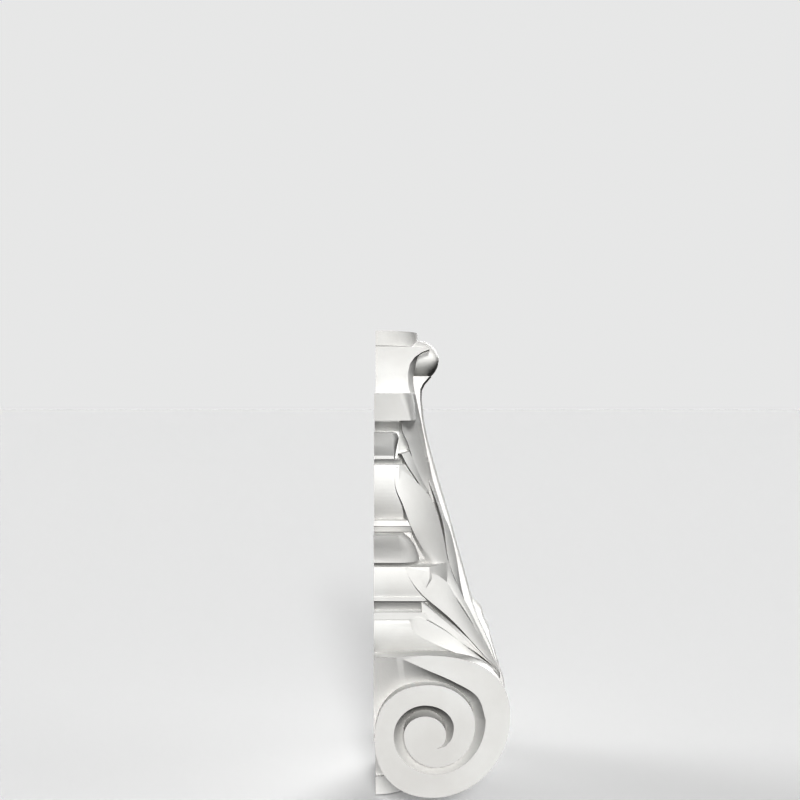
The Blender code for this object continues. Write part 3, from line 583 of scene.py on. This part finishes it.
def make_volute():
    """The block of the volute, a little waisted between its two faces."""
    sections = []
    for half, size in VOLUTE_WAIST:
        section = [place(BEHIND, VOLUTE_BACK_TOP, half), place(0.0, VOLUTE_BACK_TOP, half)]
        for depth, level in volute_outline():
            section.append(place(SPIRAL_CENTRE[0] + (depth - SPIRAL_CENTRE[0]) * size,
                                 SPIRAL_CENTRE[1] + (level - SPIRAL_CENTRE[1]) * size, half))
        section.append(place(BEHIND, SPIRAL[3][1], half))
        sections.append(section)
    return loft("volute", sections)


def make_tongue():
    """The stem of the middle leaf, laid round the front of the volute."""
    outline = spiral_quarter(0) + spiral_quarter(1)
    first = QUARTER_STEPS * TONGUE_START
    last = QUARTER_STEPS * TONGUE_END
    sections = []
    for step in range(TONGUE_STEPS + 1):
        share = step / TONGUE_STEPS
        position = first + (last - first) * share
        depth, level = along(outline, position / (len(outline) - 1))
        out = Vector((depth - SPIRAL_CENTRE[0], level - SPIRAL_CENTRE[1])).normalized()
        half = drawn(LEAF_FOOT_HALF) * (1 - share ** 2.2) ** 0.5 * 0.98 + 2.0
        proud = TONGUE_PROUD / UP * (1 - 0.5 * share)
        side = [(-9.0, half), (proud - 0.9, half), (proud, half * 0.85), (proud - 1.2, half * 0.45),
                (proud - 0.5, half * 0.14), (proud + 0.6, 0.0)]
        section = [place(depth + out.x * rise, level + out.y * rise, x) for rise, x in side]
        section += [place(depth + out.x * rise, level + out.y * rise, -x)
                    for rise, x in reversed(side[:-1])]
        sections.append(section)
    return loft("leaf_stem", sections)


def inner_edge():
    """The inner edge of the raised turns, from the wall round to the eye."""
    start_steps = 2 * QUARTER_STEPS
    line = INNER_START + (INNER[0],)
    points = [tuple(along(line, step / start_steps)) for step in range(start_steps)]
    for index in range(len(INNER) - 1):
        start = INNER[index]
        end = INNER[index + 1]
        corner = (end[0], start[1]) if index % 2 == 0 else (start[0], end[1])
        points += rounded_quarter(start, end, corner, 2.0)
    return points + [INNER[-1]]


def cut_levels():
    """Half-widths at the foot of the winding cut by quarter turns, from the wall to the eye."""
    face = drawn(VOLUTE_HALF)
    cut = face - VOLUTE_CUT / UP
    eye_cut = face - VOLUTE_EYE_CUT / UP
    run_out = (eye_cut + face) / 2 - 3.0
    return ((cut,), (cut,), (cut,), (cut,), (cut - 1.5,), (eye_cut,), (run_out,),
            (face - VOLUTE_END_CUT / UP,))


def make_volute_cut(side):
    """The winding cut between the turns, a ramp from one turn to the foot of the next."""
    next_turn = []
    for index in range(3, len(SPIRAL) - 1):
        next_turn += spiral_quarter(index)
    next_turn.append(SPIRAL[-1])
    next_turn[0] = (BEHIND - 2, next_turn[0][1])
    ramp_top = inner_edge()
    above = drawn(VOLUTE_HALF) + 3.0
    face = drawn(VOLUTE_HALF)
    sections = []
    for index, (start, end) in enumerate(zip(ramp_top, next_turn)):
        foot = along(cut_levels(), index / (len(ramp_top) - 1))[0]
        sections.append([place(*start, side * above), place(*start, side * face),
                         place(*end, side * foot), place(*end, side * above)])
    return loft("volute_cut", sections)


def make_half_round(name, radius, foot, top):
    """A half-disc on the wall, between two heights in metres above the underside."""
    behind = -BEHIND * UP
    sections = []
    for height in (foot, top):
        section = [Vector((radius, behind, height - HEIGHT / 2))]
        for step in range(HALF_ROUND_STEPS + 1):
            angle = math.pi * step / HALF_ROUND_STEPS
            section.append(Vector((radius * math.cos(angle), -radius * math.sin(angle),
                                   height - HEIGHT / 2)))
        section.append(Vector((-radius, behind, height - HEIGHT / 2)))
        sections.append(section)
    return loft(name, sections)


def make_curl():
    """The curled leaf tip over the middle leaf, flat underneath."""
    sections = []
    for step in range(1, CURL_STEPS):
        reach = -math.cos(math.pi * step / CURL_STEPS)
        rise = CURL_RISE * math.sqrt(1 - reach ** 2)
        half = CURL_HALF * (1 - abs(reach) ** 5) ** 0.2
        depth = CURL_CENTRE[0] + CURL_REACH * reach
        section = []
        for around in range(CURL_AROUND):
            angle = 2 * math.pi * around / CURL_AROUND
            level = CURL_CENTRE[1] + rise * math.sin(angle)
            section.append(place(depth, max(level, CURL_FLAT + 0.02 * math.cos(angle)),
                                 half * math.cos(angle)))
        sections.append(section)
    return loft("curl", sections)


def make_wall_cut():
    """The block that cuts the back off flat on the wall plane."""
    half = VOLUTE_HALF * 1.5
    behind = -BEHIND * UP * 3
    sections = []
    for height in (-HEIGHT, HEIGHT):
        sections.append([Vector((half, 0, height)), Vector((half, behind, height)),
                         Vector((-half, behind, height)), Vector((-half, 0, height))])
    return loft("wall_cut", sections)


def clean(base):
    """Weld the slivers that cuts leave."""
    shape = bmesh.new()
    shape.from_mesh(base.data)
    bmesh.ops.remove_doubles(shape, verts=shape.verts, dist=WELD)
    bmesh.ops.dissolve_degenerate(shape, edges=shape.edges, dist=WELD)
    bmesh.ops.triangulate(shape, faces=shape.faces)
    shape.to_mesh(base.data)
    shape.free()


def combine(base, others, operation):
    """Merge bodies into the base, or cut them out of it, and remove them."""
    gathered = bpy.data.collections.new(operation.lower())
    for other in others:
        gathered.objects.link(other)
    boolean = base.modifiers.new(operation.lower(), "BOOLEAN")
    boolean.operation = operation
    boolean.solver = "EXACT"
    boolean.use_self = True
    boolean.operand_type = "COLLECTION"
    boolean.collection = gathered
    depsgraph = bpy.context.evaluated_depsgraph_get()
    merged = bpy.data.meshes.new_from_object(base.evaluated_get(depsgraph))
    base.modifiers.clear()
    old_mesh = base.data
    base.data = merged
    bpy.data.meshes.remove(old_mesh)
    for other in others:
        bpy.data.objects.remove(other, do_unlink=True)
    bpy.data.collections.remove(gathered)
    clean(base)


def fill_hollows(base):
    """Keep the largest closed surface, and so fill hollows sealed inside the stone."""
    shape = bmesh.new()
    shape.from_mesh(base.data)
    left = set(shape.verts)
    surfaces = []
    while left:
        waiting = [left.pop()]
        surface = list(waiting)
        while waiting:
            for edge in waiting.pop().link_edges:
                for vertex in edge.verts:
                    if vertex in left:
                        left.remove(vertex)
                        waiting.append(vertex)
                        surface.append(vertex)
        surfaces.append(surface)
    surfaces.sort(key=len)
    inner = [vertex for surface in surfaces[:-1] for vertex in surface]
    bmesh.ops.delete(shape, geom=inner, context="VERTS")
    shape.to_mesh(base.data)
    shape.free()


def stone_material():
    """White, even-grained limestone with a soft matt surface."""
    material = bpy.data.materials.new("white_stone")
    material.use_nodes = True
    nodes = material.node_tree.nodes
    links = material.node_tree.links
    shader = nodes["Principled BSDF"]
    shader.inputs["Roughness"].default_value = STONE_ROUGHNESS
    place_node = nodes.new("ShaderNodeTexCoord")
    cloud = nodes.new("ShaderNodeTexNoise")
    cloud.inputs["Scale"].default_value = CLOUD_SCALE
    cloud.inputs["Detail"].default_value = CLOUD_DETAIL
    links.new(place_node.outputs["Object"], cloud.inputs["Vector"])
    tint = nodes.new("ShaderNodeValToRGB")
    tint.color_ramp.elements[0].position = TINT_START
    tint.color_ramp.elements[0].color = STONE_DARK
    tint.color_ramp.elements[1].position = TINT_END
    tint.color_ramp.elements[1].color = STONE_LIGHT
    links.new(cloud.outputs["Fac"], tint.inputs["Fac"])
    links.new(tint.outputs["Color"], shader.inputs["Base Color"])
    grain = nodes.new("ShaderNodeTexNoise")
    grain.inputs["Scale"].default_value = GRAIN_SCALE
    grain.inputs["Detail"].default_value = GRAIN_DETAIL
    links.new(place_node.outputs["Object"], grain.inputs["Vector"])
    bump = nodes.new("ShaderNodeBump")
    bump.inputs["Strength"].default_value = GRAIN_STRENGTH
    bump.inputs["Distance"].default_value = GRAIN_DEPTH
    links.new(grain.outputs["Fac"], bump.inputs["Height"])
    links.new(bump.outputs["Normal"], shader.inputs["Normal"])
    return material


def make_corbel():
    """The fine carved surface, joined from the same forms as the solid."""
    corbel = make_body()
    one_side = make_bands() + [make_lobe(name) for name in LOBES]
    both_sides = one_side + [mirrored(form) for form in one_side]
    middle = [
        make_leaf(), make_overlay(), make_volute(), make_tongue(), make_curl(),
        make_half_round("plinth", PLINTH_RADIUS, HEIGHT - PLINTH_THICK, HEIGHT),
        make_half_round("plinth_joint", PLINTH_JOINT_RADIUS, HEIGHT - PLINTH_JOINT_FOOT,
                        HEIGHT - PLINTH_JOINT_TOP),
        make_half_round("foot", FOOT_RADIUS, 0.0, FOOT_THICK),
        make_half_round("foot_stem", FOOT_STEM_RADIUS, FOOT_THICK / 2, SPIRAL[3][1] * UP)]
    combine(corbel, middle + both_sides, "UNION")
    cuts = [make_volute_cut(1), make_volute_cut(-1), make_wall_cut()]
    combine(corbel, cuts, "DIFFERENCE")
    fill_hollows(corbel)
    corbel.data.materials.clear()
    corbel.data.materials.append(stone_material())
    corbel.data.validate()
    for polygon in corbel.data.polygons:
        polygon.use_smooth = True
    corbel.data.set_sharp_from_angle(angle=math.radians(SHARP_ANGLE))
    corbel.name = "carved_corbel"
    return corbel


def make_camera():
    """The camera at the photograph's viewpoint, level and square to the side."""
    data = bpy.data.cameras.new("camera")
    data.sensor_width = SENSOR_WIDTH
    data.lens = SENSOR_WIDTH * FOCAL_PIXELS / IMAGE_WIDTH
    camera = bpy.data.objects.new("camera", data)
    camera.location = CAMERA_PLACE
    camera.rotation_euler = (math.radians(90), 0, math.radians(-90))
    bpy.context.collection.objects.link(camera)
    bpy.context.scene.camera = camera


def make_light(name):
    """A broad light from far away, which falls evenly over the corbel and the floor."""
    comes_from, strength, softness, casts_shadow = LIGHTS[name]
    data = bpy.data.lights.new(name, "SUN")
    data.energy = strength
    data.angle = math.radians(softness)
    data.use_shadow = casts_shadow
    light = bpy.data.objects.new(name, data)
    light.rotation_euler = Vector(comes_from).to_track_quat("Z", "Y").to_euler()
    bpy.context.collection.objects.link(light)


def make_world():
    """Soft light that is stronger from above, behind a plain backdrop for the camera."""
    world = bpy.data.worlds.new("studio")
    bpy.context.scene.world = world
    world.use_nodes = True
    nodes = world.node_tree.nodes
    links = world.node_tree.links
    direction = nodes.new("ShaderNodeTexCoord")
    parts = nodes.new("ShaderNodeSeparateXYZ")
    links.new(direction.outputs["Generated"], parts.inputs["Vector"])
    fill = nodes.new("ShaderNodeMapRange")
    fill.inputs["From Min"].default_value = -1.0
    fill.inputs["To Min"].default_value = FILL_BELOW
    fill.inputs["To Max"].default_value = FILL_ABOVE
    links.new(parts.outputs["Z"], fill.inputs["Value"])
    ray = nodes.new("ShaderNodeLightPath")
    strength = nodes.new("ShaderNodeMapRange")
    strength.inputs["To Max"].default_value = BACKDROP
    links.new(ray.outputs["Is Camera Ray"], strength.inputs["Value"])
    links.new(fill.outputs["Result"], strength.inputs["To Min"])
    links.new(strength.outputs["Result"], nodes["Background"].inputs["Strength"])
    nodes["Background"].inputs["Color"].default_value = (1.0, 1.0, 1.0, 1.0)


def make_floor():
    """A wide pale floor just under the corbel."""
    level = cad_low.z - 0.001
    corners = [(-FLOOR_HALF, -FLOOR_HALF, level), (FLOOR_HALF, -FLOOR_HALF, level),
               (FLOOR_HALF, FLOOR_HALF, level), (-FLOOR_HALF, FLOOR_HALF, level)]
    mesh = bpy.data.meshes.new("floor")
    mesh.from_pydata(corners, [], [(0, 1, 2, 3)])
    floor = bpy.data.objects.new("floor", mesh)
    material = bpy.data.materials.new("pale_floor")
    material.use_nodes = True
    shader = material.node_tree.nodes["Principled BSDF"]
    shader.inputs["Base Color"].default_value = FLOOR_COLOUR
    shader.inputs["Roughness"].default_value = 0.9
    shader.inputs["Specular IOR Level"].default_value = 0.0
    shader.inputs["Emission Color"].default_value = FLOOR_COLOUR
    shader.inputs["Emission Strength"].default_value = FLOOR_GLOW
    mesh.materials.append(material)
    bpy.context.collection.objects.link(floor)
    floor.visible_diffuse = False


corbel_piece = make_corbel()
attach(corbel_piece, "root")
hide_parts("corbel")

make_camera()
make_world()
make_floor()
for light_name in LIGHTS:
    make_light(light_name)
bpy.context.scene.view_settings.view_transform = "Standard"
bpy.context.scene.view_settings.gamma = CONTRAST
